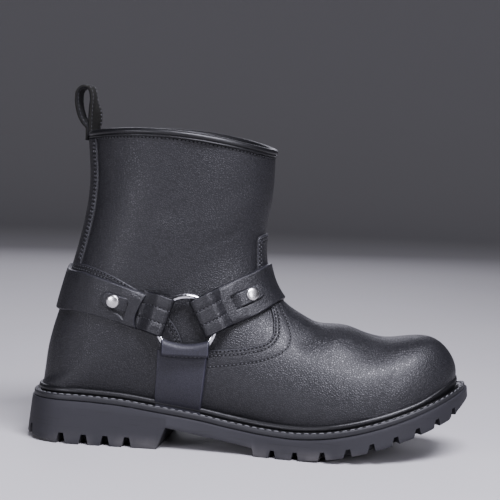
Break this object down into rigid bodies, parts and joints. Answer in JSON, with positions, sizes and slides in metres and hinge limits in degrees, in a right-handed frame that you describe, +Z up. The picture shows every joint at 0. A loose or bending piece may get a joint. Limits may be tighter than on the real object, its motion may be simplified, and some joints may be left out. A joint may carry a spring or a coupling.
{
  "type": "harness ankle boot",
  "caption": "Black leather harness ankle boot for the right foot, with ringed straps, chrome studs, a pull loop and a lugged rubber sole.",
  "frame": {"origin": "middle of the flat heel face, on the floor", "axes": "+X to the toe, +Y to the inner side of the foot, +Z up"},
  "size_m": [0.3044, 0.1111, 0.2444],
  "materials": {
    "leather": "fine pebbled grain, satin",
    "gloss_leather": "smooth, glossy",
    "rubber": "matte",
    "board": "plain",
    "chrome": "polished"
  },
  "bodies": {
    "root": {"outsole": "rubber", "welt": "gloss_leather", "insole": "board", "upper": "leather", "vamp": "leather", "heel_counter": "leather", "back_strip": "leather", "collar_binding": "gloss_leather", "pull_loop": "leather", "strap_rear": "leather", "strap_front": "leather", "strap_arch_lateral": "leather", "strap_arch_medial": "leather", "ring_lateral": "chrome", "ring_medial": "chrome", "tab_rear_lateral": "leather", "stud_rear_lateral": "chrome", "tab_rear_medial": "leather", "stud_rear_medial": "chrome", "tab_front_lateral": "leather", "stud_front_lateral": "chrome", "tab_front_medial": "leather", "stud_front_medial": "chrome"}
  },
  "joints": []
}
